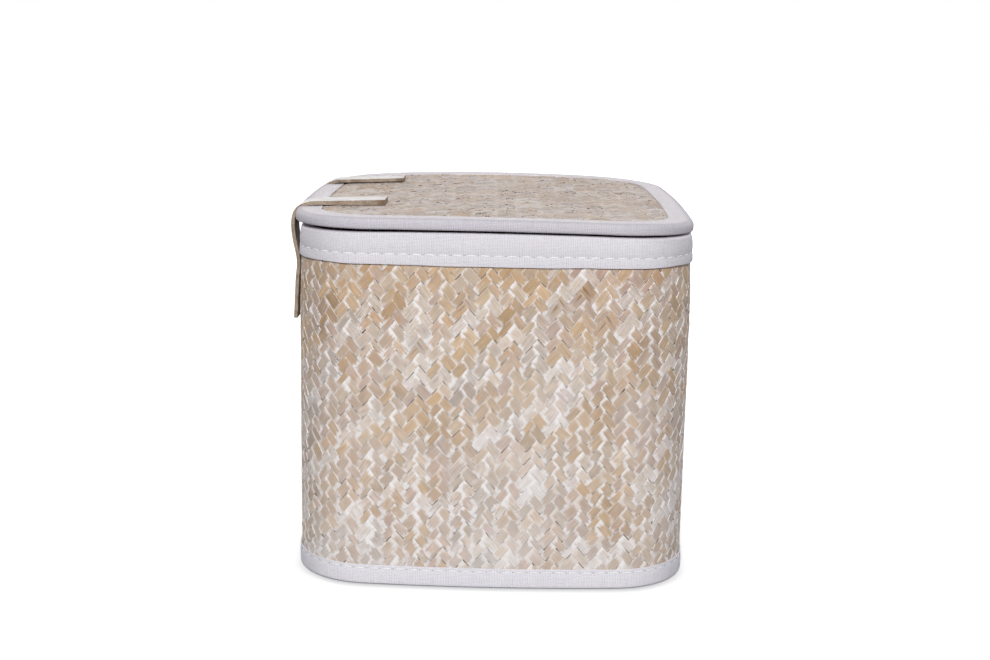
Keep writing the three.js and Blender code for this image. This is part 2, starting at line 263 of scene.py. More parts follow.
def strip_float():
    """One float as a closed slab: a grid seven by two, denser at the ends, with sides and base."""
    columns = (0, 0.045, 0.11, 0.2, 0.8, 0.89, 0.955, 1)
    made = bmesh.new()
    made.loops.layers.uv.new("strip")
    bmesh.ops.create_grid(made, x_segments=7, y_segments=2, size=0.5)
    for vert in made.verts:
        vert.co.x = columns[round((vert.co.x + 0.5) * 7)]
        vert.co.y += 0.5
    rim = [edge for edge in made.edges if edge.is_boundary]
    for edge in rim:
        edge.smooth = False
    skirt = bmesh.ops.extrude_edge_only(made, edges=rim)["geom"]
    low = [part for part in skirt if isinstance(part, bmesh.types.BMVert)]
    bmesh.ops.translate(made, verts=low, vec=(0, 0, -1))
    hem = [part for part in skirt if isinstance(part, bmesh.types.BMEdge) and part.is_boundary]
    bmesh.ops.contextual_create(made, geom=hem)
    bmesh.ops.recalc_face_normals(made, faces=made.faces)
    uv = made.loops.layers.uv["strip"]
    for face in made.faces:
        face.smooth = True
        # the sides take the second material, leaf darkened with painted shade
        face.material_index = int(abs(face.normal.y) < 0.5 and abs(face.normal.z) < 0.5)
        for loop in face.loops:
            loop[uv].uv = loop.vert.co.xy
    return made


def many_of(made, count, name):
    """A mesh of so many copies of a bmesh, and the places of each copy's points."""
    one = as_mesh(made, "one")
    made = bmesh.new()
    for _ in range(count):
        made.from_mesh(one)
    bpy.data.meshes.remove(one)
    mesh = as_mesh(made, name)
    flat = np.empty(len(mesh.vertices) * 3)
    mesh.vertices.foreach_get("co", flat)
    return mesh, flat.reshape(count, -1, 3)


def put_points(mesh, points):
    """Moves a mesh's points to x, y and z in millimetres."""
    metres = np.stack(points, axis=-1) * MM
    mesh.vertices.foreach_set("co", metres.astype(np.float32).ravel())


def plait(name, family, carry, spread, seed, hues, keep, relief=1.0):
    """A mesh of all the floats of one family of strips, rising to the right or falling, laid on the
    flat plait and then carried to their place. Each has its own width, tilt, tone and lime."""
    draw = random.Random(seed)
    count = 2 * STRIP_TURNS
    edges = {each: [draw.gauss(0, STRAY) for _ in range(count)] for each in FAMILIES}
    strip_hues = [draw.randrange(len(hues)) for _ in range(count)]
    rising = family == "rising"
    crossing = FAMILIES[rising]

    def edge_of(which, index):
        return index + max(-STRAY_LIMIT, min(STRAY_LIMIT, edges[which][index % count]))

    rows = []
    for column in range(*spread[0]):
        for turn in range(*spread[1]):
            strand = turn - 2 * column if rising else turn + 2 * column + 2
            first = strand + 4 * column if rising else strand - 4 * column - 3
            along = edge_of(crossing, first), edge_of(crossing, first + 2)
            across = edge_of(family, strand), edge_of(family, strand + 1)
            own_hue = draw.random() < OWN_HUE_SHARE
            hue = strip_hues[strand % count] if own_hue else draw.randrange(len(hues))
            gap = GAP[0] + GAP[1] * draw.random()
            opened = draw.random() < 0.5
            wide = gap + (OPEN_GAP[0] + OPEN_GAP[1] * draw.random() if opened else 0)
            gaps = (gap, wide) if draw.random() < 0.5 else (wide, gap)
            curls = draw.random() < CURLED_SHARE * relief ** 2
            curl = relief * CURL * draw.random() if curls else 0
            high, roll, pitch = (draw.gauss(0, 1) for _ in range(3))
            lime, grain = draw.random(), draw.random()
            tone, blend, skew = draw.gauss(0, 1), 0.5 * draw.random(), draw.gauss(0, 1)
            rows.append((*along, *across, *gaps, high, roll, pitch, curl, draw.randrange(2), skew,
                         lime, grain, hue, tone, blend))
    data = np.array(rows)
    start, end, left, right = data[:, :4].T
    centre_side = ((start + end) - (left + right)) / 2 * strip_across
    centre_up = ((start + end) + (left + right)) / 2 * STRIP_STEP
    data = data[keep(centre_side if rising else -centre_side, centre_up)]
    (start, end, left, right, gap_left, gap_right, high, roll, pitch, curl, curled, skew,
     lime, grain, hue, tone, blend) = data.T[..., None]

    mesh, flat = many_of(strip_float(), len(data), name)
    a, c, top = flat[..., 0], flat[..., 1], flat[..., 2] > -0.5
    if not rising:
        c = 1 - c
    along = start - STRIP_TUCK + (end - start + 2 * STRIP_TUCK) * a
    across = left + gap_left + (right - left - gap_left - gap_right) * c + SKEW * skew * (2 * a - 1)
    length = (end - start + 2 * STRIP_TUCK) * math.hypot(strip_across, STRIP_STEP)
    from_end = np.minimum(a, 1 - a) * length
    dive = np.clip(1 - from_end / DIVE_LENGTH, 0, 1) ** DIVE_CURVE
    lift = STRIP_CROWN * (1 - (2 * c - 1) ** 2) - STRIP_DIVE * dive
    uneven = high + roll * (2 * c - 1) + pitch * (2 * a - 1)
    lift += relief * np.clip(HEIGHT_SPREAD * uneven, -HEIGHT_LIMIT, HEIGHT_LIMIT)
    from_curled = np.where(curled > 0, 1 - a, a) * length
    curling = np.clip(1 - from_curled / CURL_LENGTH, 0, 1) ** DIVE_CURVE
    lift += (curl + 0.7 * STRIP_DIVE * (curl > 0)) * curling
    lift = np.where(top, lift, -STRIP_BODY - STRIP_BASE)
    side = (along - across) * strip_across
    up = (along + across) * STRIP_STEP
    put_points(mesh, carry(side if rising else -side, up, lift))

    palette = np.array([hex_colour(text) for text in hues])
    own = hue[:, 0].astype(int)
    colour = palette[own]
    colour += (palette[np.roll(own, 1)] - colour) * blend
    colour[:, :3] *= 1 + TONE_SPREAD * tone
    leaf = mesh.color_attributes.new("leaf", "FLOAT_COLOR", "POINT")
    colour = np.repeat(np.clip(colour, 0, 1), flat.shape[1], axis=0)
    leaf.data.foreach_set("color", colour.astype(np.float32).ravel())
    for attribute, value in (("lime", lime), ("grain", grain)):
        layer = mesh.attributes.new(attribute, "FLOAT", "POINT")
        layer.data.foreach_set("value", np.repeat(value, flat.shape[1]).astype(np.float32))
    mesh.update()
    return mesh


def finish_piece(mesh, body, finishes, stands_for):
    """Makes the object of a finished mesh, with its materials and body, and hides the CAD nodes
    that it stands for.
    """
    piece = bpy.data.objects.new(mesh.name, mesh)
    bpy.context.scene.collection.objects.link(piece)
    for finish in finishes:
        mesh.materials.append(finish)
    if body:
        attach(piece, body)
    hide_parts(*stands_for)
    return piece


def leaf_material(name, lime_colour, veil_low, veil_high, lime_bias, roughness, vein_dark=0.84):
    """Dried leaf strip, a satin fibrous skin with fine veins along it. Limewash lies thickest at a
    float's ends and cut edges, dragged out by the brush, and veils the rest, most at the foot."""
    finish, add = new_material(name)
    strip = add("UVMap", uv_map="strip")
    along, across, _ = add("SeparateXYZ", strip).outputs
    leaf = add("Attribute", attribute_name="leaf")
    lime = add("Attribute", attribute_name="lime").outputs["Fac"]
    grain = add("Attribute", attribute_name="grain").outputs["Fac"]
    place = add("TexCoord").outputs["Object"]
    other = add("Math MULTIPLY", grain, 90.0)
    # veins about 0.4 mm apart on a strip 5 mm wide, coarser than the real 0.2 mm so that they show
    vein_along = add("Math MULTIPLY", along, 1.1)
    vein_across = add("Math MULTIPLY", across, 12.0)
    vein_at = add("CombineXYZ", vein_along, vein_across, other)
    veins = add("TexNoise", vein_at, 1.0, 3.0, 0.6)
    vein_tone = add("MapRange", veins, 0.33, 0.67, vein_dark, 1.6 - 0.6 * vein_dark)
    blotch_at = add("CombineXYZ", along, across, other)
    blotch = add("TexNoise", blotch_at, 1.7, 2.0)
    blotch_tone = add("MapRange", blotch, 0.35, 0.65, 0.88, 1.08)
    shade = add("Math MULTIPLY", vein_tone, blotch_tone)
    veined = add("VectorMath SCALE", leaf, shade)
    # nearly four floats in ten are stained a deeper brown in places
    stain = add("MapRange", grain, 0.6, 0.65, 0.0, 0.6)
    stained = add("MapRange", blotch, 0.5, 0.64)
    stain = add("Math MULTIPLY", stain, stained)
    veined = add("Mix RGBA", stain, veined, "#b78b56")
    # one float in thirty has a dark dry streak
    dry = add("MapRange", grain, 0.965, 0.97)
    beside = add("Math SUBTRACT", across, 0.6)
    beside = add("Math ABSOLUTE", beside)
    beside = add("MapRange", beside, 0.03, 0.13, 0.8, 0.0)
    ending = add("MapRange", along, 0.3, 0.65)
    dry = add("Math MULTIPLY", dry, beside)
    dry = add("Math MULTIPLY", dry, ending)
    veined = add("Mix RGBA", dry, veined, "#6f5745")

    # lime at the ends, more at one than at the other and more towards the foot, in marks that the
    # bristles dragged across
    height = add("SeparateXYZ", place).outputs["Z"]
    foot = add("MapRange", height, 0.0, 180 * MM, veil_low, veil_high)
    drag_along = add("Math MULTIPLY", along, 1.6)
    drag_across = add("Math MULTIPLY", across, 13.0)
    drag_at = add("CombineXYZ", drag_along, drag_across, other)
    drag = add("TexNoise", drag_at, 1.0, 3.0, 0.7)
    middle = add("MapRange", grain, 0.0, 1.0, 0.41, 0.59)
    tip = add("Math SUBTRACT", along, middle)
    tip = add("Math ABSOLUTE", tip)
    bristles = add("MapRange", drag, 0.36, 0.64, -0.5, 0.5)
    dabs = add("MapRange", blotch, 0.36, 0.64, -0.5, 0.5)
    for part, share in ((foot, 0.36), (bristles, 0.13), (dabs, 0.12)):
        tip = add("Math MULTIPLY_ADD", part, share, tip)
    tip = add("MapRange", tip, 0.372, 0.505)
    # it is laid on thicker towards the foot, and on some floats more than on others
    thick = add("Math MULTIPLY_ADD", foot, 0.6, 0.75)
    uneven = add("Math MULTIPLY_ADD", lime, 1.1, 0.42)
    thick = add("Math MULTIPLY", thick, uneven)
    tip = add("Math MULTIPLY", tip, thick)
    # and in thin broken lines along the cut edges
    off_middle = add("Math SUBTRACT", across, 0.5)
    off_middle = add("Math ABSOLUTE", off_middle)
    edge = add("Math MULTIPLY_ADD", dabs, 0.035, off_middle)
    edge = add("MapRange", edge, 0.463, 0.484, 0.0, 0.85)
    laid = add("Math MAXIMUM", edge, tip)

    # brushed clouds 40 mm across, thicker towards the foot, and some strips limed all over
    cloud = add("TexNoise", place, 26.0, 3.0, 0.55)
    veil = add("MapRange", cloud, 0.3, 0.7, 0.4, 1.6)
    veil = add("Math MULTIPLY", veil, foot)
    brush = add("TexNoise", place, 420.0, 3.0, 0.65)
    film = veil
    for part, share in ((lime, 0.95), (drag, 0.6), (brush, 0.4)):
        film = add("Math MULTIPLY_ADD", part, share, film)
    film = add("MapRange", film, 1.1 - lime_bias, 1.6 - lime_bias, 0.0, 0.85)
    thin = add("Math MAXIMUM", film, veil)
    rest = add("Math SUBTRACT", 1.0, laid)
    cover = add("Math MULTIPLY_ADD", thin, rest, laid, use_clamp=True)
    # lime skips the ridges of the veins
    cover = add("Math MULTIPLY", cover, vein_tone, use_clamp=True)
    coloured = add("Mix RGBA", cover, veined, lime_colour)
    # painted shade darkens the cut sides in short lengths: the shadow in gaps between strips
    side = add("Math GREATER_THAN", off_middle, 0.488)
    ends = add("Math SUBTRACT", along, 0.5)
    ends = add("Math ABSOLUTE", ends)
    painted_edge_shade = add("Math MULTIPLY_ADD", ends, 0.3, brush)
    painted_edge_shade = add("MapRange", painted_edge_shade, 0.62, 0.65, 0.0, 0.9)
    painted_edge_shade = add("Math MULTIPLY", painted_edge_shade, side)
    coloured = add("Mix RGBA", painted_edge_shade, coloured, "#54432f")
    matt_lime = add("MapRange", cover, 0.0, 1.0, roughness, 0.9)
    relief = add("Bump", named={"Height": veins, "Strength": 0.5, "Distance": 0.14 * MM})
    shader = add("BsdfPrincipled", named={
        "Base Color": coloured, "Roughness": matt_lime, "Specular IOR Level": 0.2, "Normal": relief,
    })
    add("OutputMaterial", shader)
    return finish


limed_leaf = leaf_material("whitewashed leaf strip", "#f3efee", 0.38, 0.04, -0.17, 0.6)

# the mat's inside and the strips' cut ends: unlimed raw leaf, darkened with painted crevice shade
painted_shade_leaf, add = new_material("raw leaf in painted shade")
place = add("TexCoord").outputs["Object"]
fibres = add("TexNoise", place, 900.0, 3.0)
brown = add("Mix RGBA", fibres, "#5d4c36", "#8c7657")
shader = add("BsdfPrincipled", named={"Base Color": brown, "Roughness": 0.85})
add("OutputMaterial", shader)

RIM_SAG, RIM_DRAWN = (0.95, 0.004, 2.1e-4), 0.0195
PRESSED = 0.35  # the tapes press the mats flat by this much
SAG_FROM, PRESSED_FROM, PRESSED_TO = 168, 168, 10.5


def wall_settle(x, y, z):
    """A wall piece's points as they really lie: the rim sags towards its ends, which draw in."""
    level, lean, arch = RIM_SAG
    sag = level + lean * x + arch * np.minimum(np.abs(x), 100) ** 2
    drawn = RIM_DRAWN * np.clip((z - 140) / 45, 0, 1) ** 1.5
    return x * (1 - drawn), y, z - sag * np.clip((z - SAG_FROM) / 17, 0, 1)


def pressed(up):
    """How far the tapes press the mats in at a height."""
    return PRESSED * (np.clip((up - PRESSED_FROM) / 2, 0, 1) + np.clip((PRESSED_TO - up) / 2, 0, 1))


def wall_outside(side, up, lift):
    x, y = walk(wall_arcs, side, lift - 0.1 - pressed(up))
    return wall_settle(x, y, np.maximum(up, 1.4))


for family in FAMILIES:
    floats = plait(f"outer_strips_{family}", family, wall_outside, WALL_PLAIT, 11, LEAF_HUES,
                   keep=lambda side, up: (up > 3) & (up < 172))
    finish_piece(floats, "basket", [limed_leaf, painted_shade_leaf], ["outer_mat"])


def smooth_closed(mesh, angle=50):
    """Turns a closed mesh's faces outwards and shades it smooth, but for its sharp edges."""
    made = bmesh.new()
    made.from_mesh(mesh)
    bmesh.ops.recalc_face_normals(made, faces=made.faces)
    for face in made.faces:
        face.smooth = True
    for edge in made.edges:
        edge.smooth = edge.calc_face_angle(0.0) < math.radians(angle)
    made.to_mesh(mesh)
    made.free()
    return mesh


def stacked_circles(made, count, steps):
    """A stack of circles in a bmesh, which are bridged before their points are moved."""
    loops = []
    for k in range(count):
        above = Matrix.Translation((0, 0, k * 0.05))
        circle = bmesh.ops.create_circle(made, segments=steps, radius=1.0, matrix=above)
        loops.append({edge for vert in circle["verts"] for edge in vert.link_edges})
    for low_loop, high_loop in zip(loops, loops[1:]):
        bmesh.ops.bridge_loops(made, edges=list(low_loop | high_loop))
    return loops


def swept_mesh(name, arcs, section, steps, settle, form=None):
    """A closed section carried round the outline as bridged loops. `form` may move the points of a
    loop: it takes the loop's number, its way round, offset and height, and gives the last two."""
    made = bmesh.new()
    loops = stacked_circles(made, len(section), steps)
    bmesh.ops.bridge_loops(made, edges=list(loops[-1] | loops[0]))
    mesh = as_mesh(made, name)
    run = np.arange(steps) / steps * outline_length(arcs)
    points = []
    for k, (out, height) in enumerate(section):
        out, height = np.full(steps, float(out)), np.full(steps, float(height))
        if form:
            out, height = form(k, run, out, height)
        points.append(settle(*walk(arcs, run, out), height))
    put_points(mesh, np.array(points).swapaxes(0, 1))

    # the map runs in millimetres: round the outline, and along the section
    there = np.array(section)
    sides = np.diff(np.vstack([there, there[:1]]), axis=0)
    along = np.concatenate([[0], np.cumsum(np.hypot(*sides.T))])
    corners = np.empty(len(mesh.loops), dtype=np.int32)
    mesh.loops.foreach_get("vertex_index", corners)
    ring, step = np.divmod(corners.reshape(-1, 4), steps)
    step = np.where((np.ptp(step, axis=1)[:, None] > steps / 2) & (step == 0), steps, step)
    ring = np.where((np.ptp(ring, axis=1)[:, None] > 1) & (ring == 0), len(section), ring)
    layer = mesh.uv_layers.new(name="cloth")
    flat = np.stack([step / steps * outline_length(arcs), along[ring]], axis=-1)
    layer.data.foreach_set("uv", flat.astype(np.float32).ravel())
    return smooth_closed(mesh)


PLY_STEPS = 192
PLY_LEVELS = (140, 146, 152, 158, 164, 170, 177)


def wall_ply(name, low_out, high_out):
    """A plain ply of the wall, with enough levels for it to follow the sagging rim."""
    levels = (WALL_FOOT, *PLY_LEVELS, WALL_TOP)
    section = [(high_out, level) for level in levels]
    section += [(low_out, level) for level in reversed(levels)]
    return swept_mesh(name, wall_arcs, section, PLY_STEPS, wall_settle)


# the underlay is leaf darkened with painted shade, for the depth below the floats
mesh = wall_ply("outer_mat_underlay", -OUTER_MAT, -STRIP_BODY + 0.02)
finish_piece(mesh, "basket", [painted_shade_leaf], ["outer_mat"])


# Wall card: a stiff grey-brown board bent round to the basket's plan, between the two mats. It is
# covered on both faces and folded over by the tapes, so that only pinholes in the plait show it.
CARD_FACE, CARD = -1.6, 1.5

card_board, add = new_material("grey pasteboard")
place = add("TexCoord").outputs["Object"]
pulp = add("TexNoise", place, 1400.0, 4.0)
tint = add("Mix RGBA", pulp, "#8d7b62", "#b7a487")
relief = add("Bump", named={"Height": pulp, "Strength": 0.3, "Distance": 0.1 * MM})
shader = add("BsdfPrincipled", named={"Base Color": tint, "Roughness": 0.92, "Normal": relief})
add("OutputMaterial", shader)

mesh = wall_ply("wall_card_core", CARD_FACE - CARD, CARD_FACE)
finish_piece(mesh, "basket", [card_board], ["wall_card"])
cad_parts["base_card"].data.materials.clear()
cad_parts["base_card"].data.materials.append(card_board)


# Inner mat: the same plait in unlimed leaf, facing into the basket. Its top is under the inner
# flap of the rim tape, and its foot stands round the lining of the base.
INNER_FACE = -4.6
INNER_HUES = (
    "#c9ab78", "#cfb283", "#c2a880", "#bfa98c", "#c6ad84", "#b79a6c", "#cdb68c", "#d3bd96",
)
plain_leaf = leaf_material("natural leaf strip", "#e6dccb", 0.03, 0.03, -0.8, 0.55)


def wall_inside(side, up, lift):
    x, y = walk(wall_arcs, -side, INNER_FACE + 0.1 - lift + pressed(up))
    return wall_settle(x, y, up)


for family in FAMILIES:
    floats = plait(f"inner_strips_{family}", family, wall_inside, WALL_PLAIT, 23, INNER_HUES,
                   keep=lambda side, up: (up > 8) & (up < 172))
    finish_piece(floats, "basket", [plain_leaf, painted_shade_leaf], ["inner_mat"])
mesh = wall_ply("inner_mat_underlay", INNER_FACE + STRIP_BODY - 0.02, INNER_FACE + 1.2)
finish_piece(mesh, "basket", [painted_shade_leaf], ["inner_mat"])


# Rim tape: plain-woven cotton tape, doubled and folded over the rim, with one row of running
# stitches through tape, mats and card, 6 mm above its edge. It puffs out between fold and seam.
TAPE = 0.8
TAPE_OFF = 0.3  # the tape lies this far off the mats
RIM_LOW, RIM_SEAM = 167.7, 173.5
RIM_LEVELS = (0.15, 0.7, 1.6, 2.8, 3.9, 4.7, 5.3, 5.8, 6.3, 6.9, 7.8, 9, 10.6, 12.4, 14.2, 15.6)
FOLD_STEPS = 5
RIM_PUFF, EDGE_PUFF, RIM_FURROW, RIM_RIPPLE = 0.4, 0.15, 0.16, 0.22
STITCH_PITCH, STITCH_LENGTH, STITCH_RADIUS = 6.9, 5.3, 0.31
STITCH_LIFT, STITCH_DIVE = 0.12, 0.5  # its middle stands out, and its ends dive
ROUND_STEPS = 576


def arc_points(x, y, radius, first, last, count, fullness=1.0):
    """Points of a fold of the tape, about x, y, from one angle in degrees to another. A fold with a
    fullness below 1 is squarer than round."""
    angles = np.radians(np.linspace(first, last, count))
    turned = np.stack([np.cos(angles), np.sin(angles)], axis=1)
    turned = np.sign(turned) * np.abs(turned) ** fullness
    return [(x + radius * float(across), y + radius * float(up)) for across, up in turned]


def cotton_material(name, seams, pitch, low_hue, high_hue, painted_shade_span=None):
    """Bleached cotton tape, matt and faintly lilac, in plain weave. The two seams are the places
    along the section where the needle holes lie, which show as small dark pits of painted shade.
    The last argument is a stretch of the section that is greyed with painted shade."""
    finish, add = new_material(name)
    cloth_at = add("UVMap", uv_map="cloth")
    around, along, _ = add("SeparateXYZ", cloth_at).outputs
    # threads 0.8 mm apart, twice as coarse as real ones so that they show
    wander = add("TexNoise", cloth_at, 0.4, 2.0).outputs["Color"]
    bent = add("VectorMath SCALE", wander, 1.1)
    bent = add("VectorMath ADD", cloth_at, bent)
    warp = add("TexWave", bent, 0.37, 0.8, 1.0, bands_direction="X").outputs["Fac"]
    weft = add("TexWave", bent, 0.43, 0.8, 1.0, bands_direction="Y").outputs["Fac"]
    cloth = add("Math MULTIPLY", warp, weft)
    up_threads = add("Mapping", named={"Vector": cloth_at, "Scale": (1.5, 0.14, 1.0)})
    slub = add("TexNoise", up_threads, 1.0, 3.0, 0.6)
    round_threads = add("Mapping", named={"Vector": cloth_at, "Scale": (0.12, 1.6, 1.0)})
    yarn = add("TexNoise", round_threads, 1.0, 2.0, 0.6)
    fluff = add("TexNoise", cloth_at, 1.5, 4.0, 0.75)
    weave = slub
    for part, share in ((cloth, 1.6), (yarn, 0.8), (fluff, 2.2)):
        weave = add("Math MULTIPLY_ADD", part, share, weave)
    tone = add("MapRange", weave, 1.65, 3.0)
    colour = add("Mix RGBA", tone, low_hue, high_hue)
    # painted shade: the stretch given last, the lid's bead, is greyed
    if painted_shade_span:
        since = add("MapRange", along, painted_shade_span[0] - 1.5, painted_shade_span[0] + 0.5)
        until = add("MapRange", along, painted_shade_span[1] - 0.5, painted_shade_span[1] + 1.5, 1.0, 0.0)
        grey = add("Math MULTIPLY", since, until)
        colour = add("Mix RGBA", grey, colour, "#e6e6ea", blend_type="MULTIPLY")
    near = []
    for seam in seams:
        away = add("Math SUBTRACT", along, seam)
        away = add("Math ABSOLUTE", away)
        near.append(add("MapRange", away, 0.08, 0.36, 1.0, 0.0))
    pits = add("Math MAXIMUM", *near)
    # painted shade: halfway between two stitches a needle hole is darkened
    from_hole = add("Math PINGPONG", around, pitch / 2)
    painted_hole_shade = add("MapRange", from_hole, 0.2, 0.65, 0.6, 0.0)
    painted_hole_shade = add("Math MULTIPLY", painted_hole_shade, pits)
    hole_shaded = add("Mix RGBA", painted_hole_shade, colour, "#85797c")
    relief = add("Bump", named={"Height": weave, "Strength": 0.5, "Distance": 0.12 * MM})
    shader = add("BsdfPrincipled", named={
        "Base Color": hole_shaded, "Roughness": 0.92, "Specular IOR Level": 0.12, "Normal": relief,
    })
    add("OutputMaterial", shader)
    return finish


cotton_thread, add = new_material("twisted cotton sewing thread")
place = add("TexCoord").outputs["Object"]
twist = add("TexNoise", place, 2600.0, 2.0)
tint = add("Mix RGBA", twist, "#f3f1f4", "#fefdfe")
shader = add("BsdfPrincipled", named={"Base Color": tint, "Roughness": 0.75})
add("OutputMaterial", shader)


def stitch_count(arcs):
    return round(outline_length(arcs) / STITCH_PITCH)


def whole_pitch(arcs):
    """The stitch pitch that fits the outline a whole number of times."""
    return outline_length(arcs) / stitch_count(arcs)


def sew(tape, side, arcs, carry, seed, body):
    """A row of stitches: short spindles of thread that dive into the tape at both ends."""
    draw = random.Random(seed)
    count = stitch_count(arcs)
    made = bmesh.new()
    bmesh.ops.create_uvsphere(made, u_segments=6, v_segments=6, radius=1.0)
    bmesh.ops.rotate(made, verts=made.verts, matrix=Matrix.Rotation(math.pi / 2, 3, "Y"))
    mesh, flat = many_of(made, count, f"{tape}_stitches_{side}")
    slope = np.array([draw.gauss(0.03, 0.04) for _ in range(count)])[:, None]
    reach = np.array([STITCH_LENGTH / 2 * draw.uniform(0.93, 1.05) for _ in range(count)])[:, None]
    along = flat[..., 0]
    lift = flat[..., 2] * STITCH_RADIUS + STITCH_LIFT - STITCH_DIVE * np.abs(along) ** 3
    aside = flat[..., 1] * STITCH_RADIUS + slope * along * reach
    run = (np.arange(count)[:, None] + 0.5) * whole_pitch(arcs) + along * reach
    put_points(mesh, carry(run, aside, lift))
    smooth_closed(mesh, 180)
    finish_piece(mesh, body, [cotton_thread], [f"{tape}_thread_{side}"])


tape_outer = TAPE_OFF + TAPE
tape_inner = INNER_FACE - TAPE_OFF - TAPE
rim_levels = [RIM_LOW + up for up in RIM_LEVELS]
rim_section = (
    [(tape_outer - 0.35, RIM_LOW - 0.1)]
    + [(tape_outer, level) for level in rim_levels]
    + arc_points(0, WALL_TOP, tape_outer, 0, 90, FOLD_STEPS, 0.75)
    + arc_points(INNER_FACE, WALL_TOP, tape_outer, 90, 180, FOLD_STEPS)
    + [(tape_inner, level) for level in reversed(rim_levels)]
    + [(tape_inner + 0.35, RIM_LOW - 0.1), (tape_inner + TAPE, RIM_LOW + 0.2)]
    + arc_points(INNER_FACE, WALL_TOP, TAPE_OFF, 180, 90, 3)
    + arc_points(0, WALL_TOP, TAPE_OFF, 90, 0, 3)
    + [(tape_outer - TAPE, RIM_LOW + 0.2)]
)
rim_outer_face = range(1, 1 + len(rim_levels))
inner_from = rim_outer_face.stop + 2 * FOLD_STEPS
rim_inner_face = range(inner_from, inner_from + len(rim_levels))
rim_pitch = whole_pitch(wall_arcs)


def ripple(run, phase):
    """A slow unevenness of hand-laid tape, between -1 and 1."""
    turn = 2 * np.pi * run / wall_length
    waves = np.sin(7 * turn + phase) + np.sin(17 * turn + 2.3 * phase)
    return (waves + 0.7 * np.sin(31 * turn + 4.1 * phase)) / 2.7


def furrow(run, from_seam, pitch, depth):
    """How deep the sewing draws the tape in, within 1 mm of the seam, deepest at the holes."""
    return depth * np.exp(-(from_seam ** 2)) * (0.72 + 0.28 * np.cos(2 * np.pi * run / pitch))


def rim_puff(run, height):
    """How far the tape stands out between its edge, its seam and its fold."""
    above = np.clip((height - RIM_SEAM) / (WALL_TOP - RIM_SEAM), 0, 1)
    below = np.clip((RIM_SEAM - height) / (RIM_SEAM - RIM_LOW), 0, 1)
    puff = RIM_PUFF * np.sin(np.pi * above) + EDGE_PUFF * np.sin(np.pi * np.clip(below * 0.9, 0, 1))
    puff += 0.1 * ripple(run, 1.0 + 0.3 * height / 10)
    return puff - furrow(run, height - RIM_SEAM, rim_pitch, RIM_FURROW)


def rim_form(k, run, out, height):
    if k in rim_outer_face:
        out = out + rim_puff(run, height)
    elif k in rim_inner_face:
        out = out - 0.6 * rim_puff(run, height)
    if k in rim_outer_face and height[0] < RIM_LOW + 1.2 or k == 0:
        height = height + RIM_RIPPLE * ripple(run, 5.0)
    return out, height


def seam_place(section, k):
    """How far along a section its point k lies."""
    return float(np.sum(np.hypot(*np.diff(np.array(section[:k + 1]), axis=0).T)))


seam_point = RIM_LEVELS.index(5.8)  # the level of RIM_SEAM
rim_seams = [seam_place(rim_section, k) for k in
             (rim_outer_face[seam_point], rim_inner_face[-1 - seam_point])]
rim_cotton = cotton_material("bleached cotton rim tape", rim_seams, rim_pitch, "#cbc7d0", "#f4f1f5")
mesh = swept_mesh("rim_binding", wall_arcs, rim_section, ROUND_STEPS, wall_settle, rim_form)
finish_piece(mesh, "basket", [rim_cotton], ["rim_tape"])


def rim_stitch_outer(run, aside, lift):
    return wall_settle(*walk(wall_arcs, run, tape_outer - 0.16 + lift), RIM_SEAM + aside)


def rim_stitch_inner(run, aside, lift):
    return wall_settle(*walk(wall_arcs, -run, tape_inner + 0.25 - lift), RIM_SEAM + aside)


sew("rim", "outer", wall_arcs, rim_stitch_outer, 31, "basket")
sew("rim", "inner", wall_arcs, rim_stitch_inner, 32, "basket")


# Foot tape: the same tape folded round the bottom corner of the wall, up its face and under the
# base, with its seam close below its upper edge. It draws in a little towards the floor.
FOOT_HIGH, FOOT_SEAM = 10.2, 8.4
FOOT_OUTER, FOOT_FOLD = 0.7, 0.6
FOOT_PUFF, FOOT_FURROW, FOOT_RIPPLE = 0.15, 0.12, 0.15
FLAP, UNDER_SEAM = 14.0, -11.5
FOOT_LEVELS = (1.3, 2.2, 3.4, 4.6, 5.8, 6.8, 7.5, 8.0, FOOT_SEAM, 8.8, 9.3, 9.8)
UNDER_OUTS = (-13.4, -12.6, -12, UNDER_SEAM, -11, -10.4, -9, -7, -5, -3)

foot_section = (
    [(-FLAP + 0.1, 0.15)]
    + [(out, 0.0) for out in UNDER_OUTS]
    + arc_points(FOOT_OUTER - FOOT_FOLD, FOOT_FOLD, FOOT_FOLD, -90, 0, FOLD_STEPS + 1)[:-1]
    + [(FOOT_OUTER, level) for level in FOOT_LEVELS]
    + [(FOOT_OUTER - 0.2, FOOT_HIGH), (0.1, FOOT_HIGH - 0.1)]
    + arc_points(-0.3, 1.1, 0.4, 0, -90, 3)
    + [(-FLAP + 0.1, TAPE)]
)
foot_fold = 1 + len(UNDER_OUTS)
foot_face = range(foot_fold, foot_fold + FOLD_STEPS + 1 + len(FOOT_LEVELS))


def foot_form(k, run, out, height):
    if k in foot_face:
        puff = FOOT_PUFF * np.sin(np.pi * np.clip(height / FOOT_SEAM, 0, 1))
        puff += 0.08 * ripple(run, 2.0)
        out = out + puff * (out > 0) - furrow(run, height - FOOT_SEAM, rim_pitch, FOOT_FURROW)
    elif k > foot_face[-1] and height[0] > FOOT_SEAM:
        height = height + FOOT_RIPPLE * ripple(run, 3.0)
    return out, np.maximum(height, 0)


foot_seams = [seam_place(foot_section, k) for k in
              (1 + UNDER_OUTS.index(UNDER_SEAM),
               foot_fold + FOLD_STEPS + FOOT_LEVELS.index(FOOT_SEAM))]
foot_cotton = cotton_material(
    "bleached cotton foot tape", foot_seams, rim_pitch, "#d4d1da", "#fdfbff")
mesh = swept_mesh("foot_binding", wall_arcs, foot_section, ROUND_STEPS, wall_settle, foot_form)
finish_piece(mesh, "basket", [foot_cotton], ["foot_tape"])


